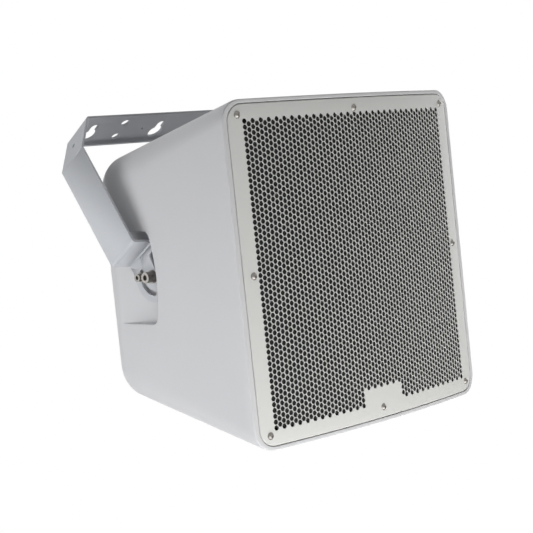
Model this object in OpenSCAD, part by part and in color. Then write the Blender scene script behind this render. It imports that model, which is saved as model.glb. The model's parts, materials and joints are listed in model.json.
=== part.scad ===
// Outdoor all-weather speaker, twelve inch coaxial, hung from a folded U bracket.
// The row frame is the bracket's: origin at the middle of the mounting face, +Z into the ceiling or eave.
// The cabinet is modelled upright in its own frame, where the grille's front is y = 0, +Y runs
// to the back and +Z is up, and place_cabinet() then hangs it in the bracket at its tilt.

/* [Pose] */
// Tilt of the cabinet, its front turned down from the bracket's plane, degrees
tilt = 32.7; // [27:0.1:48]

/* [Cabinet] */
// Width across the front rim
front_w = 397.7; // [390:0.1:410]
// Height across the front rim
front_h = 386.6; // [380:0.1:400]
// Corner radius of the front rim
front_r = 26; // [22:1:30]
// Radius of the bowed front, about an upright axis
bow_r = 1219; // [1100:1:1500]
// Depth from the middle of the grille to the back wall
depth = 313.5; // [308:0.5:320]
// Width across the back wall
back_w = 302; // [298:1:308]
// Height across the back wall
back_h = 302.8; // [296:0.1:310]
// Rounding of the back's top and bottom, seen from the side
back_r = 43; // [36:0.5:48]
// Rounding of the back's upright edges, seen from above
back_side_r = 30; // [20:1:34]
// Thickness of the moulded walls
wall = 3.6; // [3:0.1:4.5]

/* [Grille] */
// Width of the rim beside the grille's gap
rim_side = 5.95; // [4:0.05:8]
// Width of the rim above and below the grille's gap
rim_top = 3.7; // [3:0.1:6]
// Corner radius of the grille
grille_r = 20; // [16:1:24]
// Thickness of the grille's sheet
grille_t = 1.2; // [1:0.1:2]
// Depth of the grille's turned edge
grille_lip = 8; // [5:0.5:10]
// Gap between the grille and the rim
grille_gap = 1.4; // [1:0.1:2]
// Distance between hexagonal holes, three of the real grille's
hole_pitch = 19.5; // [16:0.5:26]
// Share of the pitch that a hole takes
hole_share = 0.79; // [0.6:0.01:0.84]
// Plain margin between the grille's edge and the perforated field
field_margin = 19.2; // [18:0.2:40]
// Half width of the plain patch at the bottom edge
patch_w = 36; // [20:1:60]
// Height of the plain patch above the field's lower edge
patch_h = 14; // [8:1:30]

/* [Grille screws] */
// Distance from the grille's sides to the side rows of screws
grille_screw_side = 13.5; // [11:0.5:16]
// Distance from the grille's top and bottom to the rows there
grille_screw_top = 11.8; // [10:0.2:14]
// Head diameter
grille_screw_d = 8.6; // [7:0.1:10]

/* [Side pocket] */
// Distance from the middle to the pocket's floor
pocket_x = 150.4; // [148:0.1:152]
// Height of the pocket above the middle
pocket_top = 57.5; // [54:0.5:60]
// Height of the pocket below the middle
pocket_bottom = 54; // [52:0.5:60]
// Place of the pocket's front edge behind the grille
pocket_front = 188.3; // [185:0.1:189]
// Bow of the pocket's front edge
pocket_bow_r = 164; // [140:1:400]
// Corner radius of the pocket
pocket_r = 12; // [6:1:16]

/* [Pivot] */
// Place of the pivot behind the grille's front
pivot_y = 205.5; // [204:0.1:210]
// Height of the pivot above the cabinet's middle
pivot_z = 2.5; // [0:0.1:5]
// Shank diameter of the pivot bolt
pivot_d = 8; // [6:1:10]
// Shank diameter of the lock bolt
lock_d = 6; // [5:1:6]
// Radius of the lock bolt's path round the pivot
lock_r = 19.5; // [18.5:0.1:20.5]
// Thickness of the plastic spacer between ear and pocket
spacer_t = 4; // [3:0.1:4.4]

/* [Bracket] */
// Width of the bracket's strip
strip_w = 52.6; // [48:0.1:54]
// Thickness of the bracket's sheet
strip_t = 3; // [2.5:0.1:4]
// Half length of the flat base
base_x = 151; // [146:1:156]
// Distance from the middle to the outside of the arms
arm_x = 184; // [182:0.5:190]
// Drop of the slanted corner
corner_drop = 45.2; // [40:0.1:50]
// Drop from the mounting face to the step in the arm
step_drop = 187.1; // [184:0.1:190]
// Drop from the mounting face to the pivot
pivot_drop = 223; // [220:1:226]
// Radius of the ear's fan
ear_r = 31; // [29:0.5:32]
// Inner radius of the bends
bend_r = 2; // [1:0.5:4]
// Depth of the stiffening lip on the rear edge
lip_h = 8; // [6:0.5:10]
// Drop at which the lip ends on the arm
lip_end = 155; // [120:1:160]

/* [Bracket holes] */
// Distance between the base's bolt holes along the strip
bolt_pitch_x = 168; // [150:1:180]
// Distance between the base's bolt holes across the strip
bolt_pitch_y = 28; // [24:1:30]
// Radius of the base's bolt holes
bolt_hole_r = 2.75; // [2:0.05:3.5]
// Distance from the middle to the outer keyholes
keyhole_outer_x = 128; // [120:1:134]
// Distance from the middle to the inner keyholes
keyhole_inner_x = 18; // [14:1:30]

/* [Driver] */
// Diameter across the driver's frame
frame_d = 308; // [300:1:312]
// Width of the frame's seat round the baffle's cut-out
seat_w = 12; // [10:0.5:14]
// Place of the baffle's front behind the grille's front
baffle_y = 30; // [28:0.5:34]
// Thickness of the baffle
baffle_t = 12; // [9:0.5:15]
// Depth from the baffle's front to the basket's rear seat
basket_depth = 66; // [64:0.5:70]
// Diameter of the ring magnet
magnet_d = 156; // [140:1:164]
// Thickness of the ring magnet
magnet_t = 18; // [14:1:22]
// Radius of the voice coil's former
former_r = 25.6; // [24:0.1:27]
// Diameter of the horn's mouth
horn_d = 80; // [60:1:90]

/* [Rear panel] */
// Width of the connection panel
panel_w = 120; // [110:1:130]
// Height of the connection panel
panel_h = 84; // [76:1:90]
// Height of the panel's centre, below the middle
panel_z = -50; // [-56:1:-46]
// Depth of the recess that holds the panel
recess_d = 22; // [18:1:26]

/* [Hidden] */

// Clearances between seated pieces
fit = 0.1;
// Overshoot of a cutting shape past the face it cuts
over = 1;
$fn = 64;

// The grille fits in the front with its gap, its screws stand in from its edges
grille_w = front_w - 2 * (rim_side + grille_gap);
grille_h = front_h - 2 * (rim_top + grille_gap);
grille_screw_x = grille_w / 2 - grille_screw_side;
grille_screw_z = grille_h / 2 - grille_screw_top;
// Cut-out that the driver's frame covers
cutout_d = frame_d - 2 * seat_w;

// Colours
cabinet_grey = [0.78, 0.79, 0.80];
grille_grey = [0.82, 0.83, 0.82];
bracket_grey = [0.70, 0.73, 0.76];
steel = [0.62, 0.62, 0.63];
black = [0.06, 0.06, 0.07];
iron = [0.25, 0.25, 0.27];

// Grille surface's distance behind its middle, at a distance x from the middle
function bow(x) = bow_r - sqrt(bow_r * bow_r - x * x);

// Half width of the cabinet's tapered side at a depth y
function side_x(y) = front_w / 2 - (y - bow(front_w / 2)) * side_slope;
side_slope = (front_w / 2 - back_w / 2) / (depth - back_r - bow(front_w / 2));
// Half height of the cabinet's tapered top at a depth y
function top_z(y) = front_h / 2 - y * top_slope;
top_slope = (front_h / 2 - back_h / 2) / (depth - back_r);

// Hangs what is modelled in the cabinet's frame in the bracket
module place_cabinet() {
    translate([0, 0, -pivot_drop])
        rotate([tilt, 0, 0])
            translate([0, -pivot_y, -pivot_z])
                children();
}

// Turns a shape drawn along Z to lie along the cabinet's depth
module along_depth(y = 0) {
    translate([0, y, 0]) rotate([-90, 0, 0]) children();
}

// Turns a shape drawn along Z to lie along X, pointing out of the side given by sign
module out_of_side(side, x, y, z) {
    translate([side * x, y, z]) rotate([0, side * 90, 0]) children();
}

// Flat rounded rectangle
module rounded(w, h, r) {
    difference() {
        square([w, h], center = true);
        for (sx = [-1, 1], sz = [-1, 1])
            translate([sx * (w / 2 - r), sz * (h / 2 - r)])
                difference() {
                    translate([sx > 0 ? 0 : -r - over, sz > 0 ? 0 : -r - over]) square(r + over);
                    circle(r);
                }
    }
}

// Upright rounded panel between two depths
module panel_block(w, h, r, y0, y1) {
    translate([0, y1, 0]) rotate([90, 0, 0]) linear_extrude(y1 - y0) rounded(w, h, r);
}

// Round bar along the depth
module depth_rod(r, y0, y1) {
    along_depth(y0) cylinder(r = r, h = y1 - y0);
}

// Upright cylinder that carries the bow, at an offset behind the grille's front
module bow_body(offset_back) {
    translate([0, bow_r, -front_h]) cylinder(r = bow_r - offset_back, h = 2 * front_h, $fn = 360);
}

// Copies a shape of the right side to the side given by sign
module on_side(side) {
    mirror([side < 0 ? 1 : 0, 0, 0]) children();
}

// Turns an outline drawn in depth and height into a plate, thick along X from x0
module side_plate(x0, thickness) {
    translate([x0, 0, 0]) rotate([90, 0, 90]) linear_extrude(thickness) children();
}

// Places a shape on the grille's surface at (x, z), with -Y standing out of it
module on_grille(x, z) {
    translate([0, bow_r, z]) rotate([0, 0, asin(x / bow_r)]) translate([0, -bow_r, 0]) children();
}

// Faces round each corner of the back, and the share of a radius that they reach
back_faces = 32;
back_reach = cos(180 / back_faces);

// The cabinet's outer form, or its inner one where an inset is given
module body_form(inset = 0) {
    hull() {
        intersection() {
            panel_block(front_w - 2 * inset, front_h - 2 * inset, front_r - inset,
                -over, bow(front_w / 2) + 2 * over, $fn = 32);
            difference() {
                bow_body(0);
                bow_body(0.5);
            }
        }
        for (sx = [-1, 1], sz = [-1, 1])
            translate([sx * (back_w / 2 - back_side_r), depth - back_r, sz * (back_h / 2 - back_r)])
                scale([(back_side_r - inset) / (back_r - inset), 1, 1])
                    sphere(back_r - inset, $fn = back_faces);
    }
}

// Depth of the straight-sided mouth that the grille sits in
mouth_d = grille_lip + 4;

// All of the hollow inside, before anything is moulded into it
module cabinet_hollow() {
    difference() {
        panel_block(grille_w + 2 * grille_gap, grille_h + 2 * grille_gap, grille_r + grille_gap,
            -over, bow(front_w / 2) + mouth_d + over);
        bow_body(mouth_d);
    }
    intersection() {
        body_form(wall);
        bow_body(mouth_d - 0.1);
    }
}

// The side pocket's outline in depth and height, or one grown outwards by a wall
module pocket_outline(grow = 0) {
    centre_y = pocket_front + pocket_bow_r;
    corner_top = centre_y - sqrt(pow(pocket_bow_r - pocket_r, 2) - pow(pocket_top - pocket_r, 2));
    corner_low = centre_y - sqrt(pow(pocket_bow_r - pocket_r, 2) - pow(pocket_bottom - pocket_r, 2));
    touch_top = (pocket_top - pocket_r) * pocket_bow_r / (pocket_bow_r - pocket_r);
    touch_low = (pocket_bottom - pocket_r) * pocket_bow_r / (pocket_bow_r - pocket_r);
    intersection() {
        translate([centre_y, 0]) circle(pocket_bow_r + grow, $fn = 180);
        translate([pocket_front - grow, -touch_low]) square([depth, touch_low + touch_top]);
    }
    translate([corner_top, pocket_top - pocket_r]) circle(pocket_r + grow);
    translate([corner_low, -pocket_bottom + pocket_r]) circle(pocket_r + grow);
    translate([corner_top, 0]) square([depth, pocket_top + grow]);
    translate([corner_low, -pocket_bottom - grow]) square([depth, pocket_bottom + grow]);
}

// Ledge that the baffle is screwed to
ledge_y = baffle_y + baffle_t;
ledge_t = 6;
ledge_w = 18;
baffle_gap = 0.5;
baffle_w = 2 * (side_x(ledge_y) - wall - baffle_gap);
baffle_h = 2 * (top_z(ledge_y) - wall - baffle_gap);
ledge_in_w = baffle_w - 2 * ledge_w;
ledge_in_h = baffle_h - 2 * ledge_w;
baffle_screw_inset = 8;
baffle_screw_at = [for (s = [-1, 1], t = [-1, 1]) each [
    [s * (baffle_w / 2 - baffle_screw_inset), t * baffle_h / 4],
    [s * baffle_w / 4, t * (baffle_h / 2 - baffle_screw_inset)]
]];

module ledge() {
    difference() {
        panel_block(front_w, front_h, front_r, ledge_y, ledge_y + ledge_t);
        panel_block(ledge_in_w, ledge_in_h, 16, ledge_y - over, ledge_y + ledge_t + over);
        for (p = baffle_screw_at)
            translate([p.x, 0, p.y]) depth_rod(1.9, ledge_y - over, ledge_y + ledge_t + over);
    }
}

// Rear recess and what is moulded round it
recess_y = depth - recess_d;
recess_edge = 2;
panel_open_w = panel_w - 20;
panel_open_h = panel_h - 20;
panel_screw_at = [for (s = [-1, 1], t = [-1, 1]) [s * (panel_w / 2 - 5.5), t * (panel_h / 2 - 5.5)]];

module recess_block() {
    translate([0, 0, panel_z])
        panel_block(panel_w + 2 * recess_edge + 2 * wall, panel_h + 2 * recess_edge + 2 * wall, 8 + wall,
            recess_y - wall, depth);
    for (p = panel_screw_at)
        translate([p.x, 0, panel_z + p.y]) depth_rod(4.2, recess_y - wall - 8, recess_y);
}

module recess_cut() {
    translate([0, 0, panel_z]) {
        panel_block(panel_w + 2 * recess_edge, panel_h + 2 * recess_edge, 8, recess_y, depth + over);
        panel_block(panel_open_w, panel_open_h, 5, recess_y - wall - over, recess_y + over);
    }
    for (p = panel_screw_at)
        translate([p.x, 0, panel_z + p.y]) depth_rod(1.7, recess_y - 10, recess_y + over);
}

// Crossover board's place on the back wall
board_w = 150;
board_h = 72;
board_z = 52;
board_t = 1.6;
standoff_l = 9;
back_in_y = depth - back_r + (back_r - wall) * back_reach;
board_y = back_in_y - standoff_l - board_t;
board_hole_at = [for (s = [-1, 1], t = [-1, 1]) [s * (board_w / 2 - 6), t * (board_h / 2 - 6)]];

module board_standoffs() {
    for (p = board_hole_at)
        translate([p.x, 0, board_z + p.y]) depth_rod(4, board_y + board_t, depth);
}

// Moulded cabinet: tapered walls, bowed mouth, side pockets and the rear recess
module cabinet() {
    color(cabinet_grey) place_cabinet() difference() {
        intersection() {
            body_form();
            bow_body(0);
        }
        difference() {
            cabinet_hollow();
            for (side = [-1, 1])
                on_side(side) side_plate(pocket_x - wall, front_w / 2) pocket_outline(wall);
            ledge();
            recess_block();
            board_standoffs();
        }
        for (side = [-1, 1]) {
            on_side(side) side_plate(pocket_x, front_w / 2) pocket_outline();
            out_of_side(side, pocket_x - wall - over, pivot_y, pivot_z)
                cylinder(r = pivot_d / 2 + 0.3, h = wall + 2 * over);
            out_of_side(side, pocket_x - wall - over, pivot_y + lock_r, pivot_z)
                cylinder(r = lock_d / 2 + 0.3, h = wall + 2 * over);
        }
        recess_cut();
    }
}

// Where the grille's screws stand
grille_screw_at = [
    [-grille_screw_x, grille_screw_z], [0, grille_screw_z], [grille_screw_x, grille_screw_z],
    [-grille_screw_x, 0], [grille_screw_x, 0],
    [-grille_screw_x, -grille_screw_z], [0, -grille_screw_z], [grille_screw_x, -grille_screw_z]
];
post_r = 6;

// Front board with the driver's cut-out and the posts that hold the grille
driver_screw_r = (frame_d + cutout_d) / 4 - 0.5;
module baffle() {
    color(black) place_cabinet() difference() {
        union() {
            panel_block(baffle_w, baffle_h, 20, baffle_y, ledge_y);
            intersection() {
                for (p = grille_screw_at)
                    on_grille(p.x, p.y) depth_rod(post_r, -over, baffle_y + 3);
                bow_body(grille_t);
                panel_block(baffle_w, baffle_h, 20, -over, ledge_y);
            }
            // stiffening ring round the cut-out, on the hidden side
            difference() {
                depth_rod(cutout_d / 2 + 8, ledge_y - over, ledge_y + 8);
                depth_rod(cutout_d / 2 + 4, ledge_y, ledge_y + 9);
            }
        }
        depth_rod(cutout_d / 2, 0, ledge_y + 10);
        for (p = grille_screw_at)
            on_grille(p.x, p.y) depth_rod(1.8, -over, 17);
        for (p = baffle_screw_at)
            translate([p.x, 0, p.y]) depth_rod(2.2, baffle_y - over, ledge_y + over);
        for (a = [22.5 : 45 : 360])
            rotate([0, a, 0]) translate([driver_screw_r, 0, 0]) depth_rod(2.1, baffle_y - over, ledge_y + over);
    }
}

// The grille's holes, as an outline seen from the front
module grille_holes() {
    column = hole_pitch * sqrt(3) / 2;
    hole_r = hole_share * hole_pitch / sqrt(3);
    field_low = field_margin - grille_h / 2;
    columns = floor((grille_w / 2 - field_margin - hole_pitch / 2) / column);
    rows = floor((grille_h / 2 - field_margin - hole_pitch / 2) / hole_pitch * 2);
    for (i = [-columns : columns], j = [-rows : rows])
        if ((i + j + columns + rows) % 2 == 0)
            if (abs(i * column) > patch_w || j * hole_pitch / 2 > field_low + patch_h + hole_pitch)
                translate([i * column, j * hole_pitch / 2]) circle(hole_r, $fn = 6);
}

// Bowed perforated front with a turned edge
module grille() {
    color(grille_grey) place_cabinet() {
        intersection() {
            difference() {
                bow_body(0);
                bow_body(grille_t);
            }
            translate([0, 40, 0]) rotate([90, 0, 0]) linear_extrude(50) difference() {
                rounded(grille_w, grille_h, grille_r);
                grille_holes();
                for (p = grille_screw_at)
                    translate(p) circle(2.3);
            }
        }
        intersection() {
            difference() {
                bow_body(0);
                bow_body(grille_lip);
            }
            difference() {
                panel_block(grille_w, grille_h, grille_r, -over, 40);
                panel_block(grille_w - 2 * grille_t, grille_h - 2 * grille_t, grille_r - grille_t, -2 * over, 41);
            }
        }
    }
}

// Black cloth behind the holes
backing_t = 1;
module grille_backing() {
    color(black) place_cabinet() intersection() {
        difference() {
            bow_body(grille_t);
            bow_body(grille_t + backing_t);
        }
        panel_block(2 * (grille_screw_x - post_r) - 1, 2 * (grille_screw_z - post_r) - 1, 8, -over, 40);
    }
}

// Domed screw head along -Y with its shank along +Y
module pan_screw(head_d, head_h, shank_d, shank_l) {
    dome_r = (head_d * head_d / 4 + head_h * head_h) / (2 * head_h);
    difference() {
        intersection() {
            depth_rod(head_d / 2, -head_h, 0);
            translate([0, dome_r - head_h, 0]) rotate([-90, 0, 0]) sphere(dome_r);
        }
        translate([0, -head_h + 1, 0]) rotate([90, 0, 0]) cylinder(r = head_d / 5, h = head_h, $fn = 6);
    }
    depth_rod(shank_d / 2, -0.4, shank_l);
}

module grille_screws() {
    color(steel) place_cabinet()
        for (p = grille_screw_at) on_grille(p.x, p.y) pan_screw(grille_screw_d, 2.6, 3.4, 15);
}

module baffle_screws() {
    color(steel) place_cabinet()
        for (p = baffle_screw_at) translate([p.x, baffle_y, p.y]) pan_screw(8, 3, 3.6, baffle_t + ledge_t - 0.5);
}

// Driver: what turns about the driver's axis is drawn as [radius, depth]
flange_t = 6;
gasket_t = 1;
flange_y = baffle_y - gasket_t - flange_t;
basket_y = baffle_y + basket_depth;
top_plate_t = 8;
yoke_t = 8;
top_plate_y = basket_y;
magnet_y = top_plate_y + top_plate_t;
yoke_y = magnet_y + magnet_t;
driver_back = yoke_y + yoke_t;
former_t = 0.3;
winding_t = 0.7;
gap_clear = 0.6;
pole_r = former_r - gap_clear;
gap_r = former_r + former_t + winding_t + gap_clear;
throat_r = 13;
shelf_y = basket_y - 16;
shelf_r = magnet_d / 2 + 2;

module turned() {
    rotate([-90, 0, 0]) rotate_extrude($fn = 96) children();
}

// Wedge of a disc, open about the +X direction
module wedge(r, half_angle) {
    polygon([[0, 0], [r * cos(half_angle), -r * sin(half_angle)], [r * 1.2, 0],
        [r * cos(half_angle), r * sin(half_angle)]]);
}

// Cast frame: flange, six open windows, the shelf that the spider lands on and the magnet's seat
module woofer_frame() {
    seat_r = shelf_r + 4;
    wall_r = cutout_d / 2 - 2;
    color(iron) place_cabinet() difference() {
        turned() polygon([
            [wall_r - 11, flange_y], [frame_d / 2, flange_y], [frame_d / 2, baffle_y - gasket_t],
            [wall_r, baffle_y - gasket_t], [wall_r, baffle_y + 7], [seat_r + 4, basket_y - 8], [seat_r + 4, basket_y],
            [gap_r + 14, basket_y], [gap_r + 14, basket_y - 6], [shelf_r - 4, basket_y - 6],
            [shelf_r - 4, shelf_y + 3], [shelf_r - 10, shelf_y + 3], [shelf_r - 10, shelf_y], [shelf_r, shelf_y],
            [shelf_r, basket_y - 8], [wall_r - 4, baffle_y + 6], [wall_r - 4, flange_y + 5], [wall_r - 11, flange_y + 5]
        ]);
        for (a = [0 : 60 : 359])
            rotate([0, a, 0]) along_depth(baffle_y + 9) linear_extrude(basket_y - baffle_y - 20)
                difference() {
                    wedge(cutout_d, 21);
                    circle(shelf_r + 7);
                }
        for (a = [22.5 : 45 : 360])
            rotate([0, a, 0]) translate([driver_screw_r, 0, 0]) depth_rod(2.8, flange_y - over, baffle_y);
    }
}

module woofer_gasket() {
    color(black) place_cabinet() difference() {
        depth_rod(frame_d / 2, baffle_y - gasket_t, baffle_y);
        depth_rod(cutout_d / 2 + 1, 0, baffle_y + over);
        for (a = [22.5 : 45 : 360])
            rotate([0, a, 0]) translate([driver_screw_r, 0, 0]) depth_rod(2.8, 0, baffle_y + over);
    }
}

module woofer_screws() {
    color(steel) place_cabinet()
        for (a = [22.5 : 45 : 360])
            rotate([0, a, 0]) translate([driver_screw_r, flange_y, 0]) pan_screw(9, 3.2, 4, 18);
}

// Radius of the steel plates on both faces of the magnet, and of the magnet's bore
plate_r = magnet_d / 2 - 10;
magnet_bore_r = gap_r + 12.8;
module top_plate() {
    color(steel) place_cabinet() difference() {
        depth_rod(plate_r, top_plate_y, magnet_y);
        depth_rod(gap_r, top_plate_y - over, magnet_y + over);
    }
}

module magnet() {
    color(iron) place_cabinet() difference() {
        depth_rod(magnet_d / 2, magnet_y, yoke_y);
        depth_rod(magnet_bore_r, magnet_y - over, yoke_y + over);
    }
}

// Rear plate with the bored pole that the horn is screwed to
module rear_yoke() {
    color(steel) place_cabinet() difference() {
        turned() polygon([
            [throat_r, top_plate_y + 1], [pole_r, top_plate_y + 1], [pole_r, yoke_y - 4], [pole_r + 4, yoke_y],
            [plate_r, yoke_y], [plate_r, driver_back - 2], [plate_r - 2, driver_back], [throat_r, driver_back]
        ]);
    }
}

// Cone: a slightly curved funnel between the former and the surround
cone_r = cutout_d / 2 - 26;
cone_front = flange_y + 1.3;
cone_neck = shelf_y - 14;
cone_t = 1.2;
function cone_y(t) = cone_neck - (cone_neck - cone_front) * pow(t, 0.85);
function cone_x(t) = former_r + former_t + (cone_r - former_r - former_t) * t;
module woofer_cone() {
    steps = 8;
    color(black) place_cabinet() turned() polygon(concat(
        [for (i = [0 : steps]) [cone_x(i / steps), cone_y(i / steps)]],
        [for (i = [steps : -1 : 0]) [cone_x(i / steps), cone_y(i / steps) + cone_t * (i == 0 ? 2 : 1)]]
    ));
}

winding_h = 16;
module voice_coil() {
    color("peru") place_cabinet() turned() {
        translate([former_r, cone_neck - 2]) square([former_t, basket_y + top_plate_t + 3 - cone_neck]);
        translate([former_r + former_t, top_plate_y + top_plate_t / 2 - winding_h / 2]) square([winding_t, winding_h]);
    }
}

// Half-roll rubber surround, glued to the frame's flange and along the cone's edge
surround_in = cone_r - 7;
roll_t = 0.9;
module surround() {
    land_r = cutout_d / 2 - 12;
    glue = 0.3;
    edge_t = (surround_in - former_r - former_t) / (cone_r - former_r - former_t);
    roll_mid = (cone_r + land_r) / 2;
    roll_r = (land_r - cone_r) / 2;
    roll_y = flange_y;
    steps = 12;
    color(black) place_cabinet() turned() polygon(concat(
        [[surround_in, cone_y(edge_t) - glue], [surround_in, cone_y(edge_t) - glue - roll_t]],
        [for (i = [0 : steps]) [roll_mid - roll_r * cos(180 * i / steps), roll_y - roll_r * sin(180 * i / steps)]],
        [[land_r, flange_y - roll_t], [cutout_d / 2 - 2, flange_y - roll_t], [cutout_d / 2 - 2, flange_y],
            [land_r - roll_t, flange_y]],
        [for (i = [steps - 1 : -1 : 1]) [
            roll_mid - (roll_r - roll_t) * cos(180 * i / steps), roll_y - (roll_r - roll_t) * sin(180 * i / steps)]],
        [[cone_r + roll_t, cone_front - glue - 0.35]]
    ));
}

// Corrugated cloth disc that centres the coil
module spider() {
    spider_in = former_r + former_t + 0.3;
    spider_out = shelf_r - 4.5;
    flat_r = shelf_r - 10.5;
    steps = 36;
    thin = 0.6;
    function wave(t) = 1.4 * sin(360 * 5 * t) * (1 - pow(2 * t - 1, 8));
    color("goldenrod") place_cabinet() turned() polygon(concat(
        [for (i = [0 : steps]) [spider_in + (flat_r - spider_in) * i / steps, shelf_y - thin + wave(i / steps)]],
        [[spider_out, shelf_y - thin], [spider_out, shelf_y]],
        [for (i = [steps : -1 : 0]) [spider_in + (flat_r - spider_in) * i / steps, shelf_y + wave(i / steps)]]
    ));
}

// Flared horn on the pole's front, inside the cone
horn_y = top_plate_y + 1;
horn_front = baffle_y + 4;
horn_wall = 2;
function horn_x(t) = throat_r + (horn_d / 2 - throat_r) * pow(t, 2.2);
function horn_at(t) = horn_y - (horn_y - horn_front) * t;
module horn() {
    steps = 10;
    color(black) place_cabinet() turned() polygon(concat(
        [for (i = [0 : steps]) [horn_x(i / steps), horn_at(i / steps)]],
        [for (i = [steps : -1 : 1]) [horn_x(i / steps) + horn_wall, horn_at(i / steps) + (i == steps ? 0 : 0.4)]],
        [[throat_r + horn_wall, horn_y - 4], [pole_r - 2, horn_y - 4], [pole_r - 2, horn_y]]
    ));
}

// High-frequency driver on the back of the yoke, firing through the pole
can_r = 43;
can_l = 25;
cap_r = 30;
cap_l = 4;
module compression_driver() {
    rear = driver_back + can_l;
    color(iron) place_cabinet() turned() polygon([
        [throat_r, driver_back], [can_r + 3, driver_back], [can_r + 3, driver_back + 5], [can_r, driver_back + 5],
        [can_r, rear - 3], [can_r - 3, rear], [cap_r, rear], [cap_r - 2, rear + cap_l],
        [0, rear + cap_l], [0, driver_back + 8], [throat_r, driver_back + 4]
    ]);
}

// Crossover on the back wall
coil_r = 13.5;
coil_l = 16;
coil_rim = 1.5;
coil_row = board_w / 2 - 27;
coil_at = [for (s = [-1, 1], z = [14, -16]) [s * coil_row, z]];
capacitor_at = [-14, 6, 26];
capacitor_r = 7.5;
capacitor_l = 34;
module crossover_board() {
    color("darkgreen") place_cabinet() difference() {
        translate([0, 0, board_z]) panel_block(board_w, board_h, 3, board_y, board_y + board_t);
        for (p = board_hole_at)
            translate([p.x, 0, board_z + p.y]) depth_rod(1.8, board_y - over, board_y + board_t + over);
    }
}

module crossover_coils() {
    color("peru") place_cabinet()
        for (p = coil_at)
            translate([p.x, 0, board_z + p.y]) difference() {
                union() {
                    depth_rod(coil_r, board_y - coil_l, board_y);
                    depth_rod(coil_r + 1, board_y - coil_rim, board_y);
                    depth_rod(coil_r + 1, board_y - coil_l, board_y - coil_l + coil_rim);
                }
                depth_rod(coil_r - 7.5, board_y - coil_l - over, board_y + over);
            }
}

module crossover_capacitors() {
    color("gold") place_cabinet()
        for (z = capacitor_at)
            translate([-capacitor_l / 2, board_y - capacitor_r, board_z - 12 + z]) rotate([0, 90, 0])
                rotate_extrude() polygon([
                    [0, 0], [capacitor_r - 1, 0], [capacitor_r, 1], [capacitor_r, capacitor_l - 1],
                    [capacitor_r - 1, capacitor_l], [0, capacitor_l]
                ]);
}

// Line transformer beside the recess: laminated core, windings and feet
transformer_x = 95;
transformer_z = -50;
module line_transformer() {
    color(iron) place_cabinet() translate([transformer_x, back_in_y, transformer_z]) difference() {
        union() {
            translate([-18, -34, -24]) cube([36, 32, 48]);
            translate([-23, -31, -15]) cube([46, 26, 30]);
            translate([-18, -2, -32]) cube([36, 2, 64]);
        }
        for (s = [-1, 1]) translate([0, -3, s * 28]) rotate([-90, 0, 0]) cylinder(r = 2.2, h = 4);
    }
}

// Rear connection panel and its fittings
panel_gasket_t = 1.5;
panel_t = 3;
panel_y = recess_y + panel_gasket_t;
gland_x = 34;
gland_bore = 5;
module input_panel() {
    color(steel) place_cabinet() translate([0, 0, panel_z]) difference() {
        panel_block(panel_w, panel_h, 7, panel_y, panel_y + panel_t);
        for (p = panel_screw_at)
            translate([p.x, 0, p.y]) depth_rod(2.2, panel_y - over, panel_y + panel_t + over);
        translate([gland_x, 0, 0]) depth_rod(9.1, panel_y - over, panel_y + panel_t + over);
    }
}

module panel_gasket() {
    color(black) place_cabinet() translate([0, 0, panel_z]) difference() {
        panel_block(panel_w, panel_h, 7, recess_y, panel_y);
        panel_block(panel_open_w, panel_open_h, 5, recess_y - over, panel_y + over);
        for (p = panel_screw_at)
            translate([p.x, 0, p.y]) depth_rod(2.2, recess_y - over, panel_y + over);
    }
}

module panel_screws() {
    color(steel) place_cabinet()
        for (p = panel_screw_at)
            translate([p.x, panel_y + panel_t, panel_z + p.y]) mirror([0, 1, 0]) pan_screw(7, 2.4, 3.2, 12);
}

module terminal_block() {
    pole_pitch = 12;
    ways = 4;
    color("ivory") place_cabinet() translate([-18, panel_y, panel_z]) difference() {
        union() {
            translate([-pole_pitch * ways / 2, -14, -10]) cube([pole_pitch * ways, 14, 20]);
            translate([-pole_pitch * ways / 2 - 6, -3, -5]) cube([pole_pitch * ways + 12, 3, 10]);
        }
        for (i = [0 : ways - 1], s = [-1, 1])
            translate([(i - (ways - 1) / 2) * pole_pitch, -15, s * 5]) rotate([-90, 0, 0]) cylinder(r = 2.6, h = 9);
        for (i = [0 : ways - 2])
            translate([(i - (ways - 2) / 2) * pole_pitch - 0.6, -15, -11]) cube([1.2, 4, 22]);
    }
}

// Cable gland: hexagon and thread in one piece with its domed cap in place
module cable_gland() {
    y0 = panel_y + panel_t;
    color(black) place_cabinet() translate([gland_x, 0, panel_z]) difference() {
        union() {
            depth_rod(9, panel_y - 8, y0);
            along_depth(y0) cylinder(r = 27 / sqrt(3), h = 6, $fn = 6);
            translate([0, y0 + 6, 0]) turned() polygon([[0, 0], [12, 0], [12, 9], [9, 15], [0, 15]]);
        }
        depth_rod(gland_bore, panel_y - 9, y0 + 22);
    }
}

module gland_nut() {
    color(black) place_cabinet() translate([gland_x, 0, panel_z]) difference() {
        along_depth(panel_y - 5) cylinder(r = 26 / sqrt(3), h = 5, $fn = 6);
        depth_rod(9.05, panel_y - 6, panel_y + over);
    }
}

// Fixings between bracket and cabinet
ear_in = pocket_x + spacer_t;
ear_out = ear_in + strip_t;
washer_t = 2;
spring_washer_t = 2.2;
nut_plate_t = 5;
bolt_tip = pocket_x - wall - nut_plate_t - 3;

// Socket-head bolt along X, its head's seat at x and its tip at tip
module socket_bolt(d, head_d, head_h, x, tip) {
    translate([tip, 0, 0]) rotate([0, 90, 0]) cylinder(r = d / 2, h = x - tip + 0.5);
    translate([x, 0, 0]) rotate([0, 90, 0]) difference() {
        cylinder(r = head_d / 2, h = head_h);
        translate([0, 0, head_h / 2]) cylinder(r = head_d * 0.27, h = head_h, $fn = 6);
    }
}

module pivot_bolt(side) {
    color(steel) place_cabinet() on_side(side) translate([0, pivot_y, pivot_z])
        socket_bolt(pivot_d, pivot_d * 1.65, pivot_d, ear_out + washer_t + spring_washer_t, bolt_tip);
}

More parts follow.
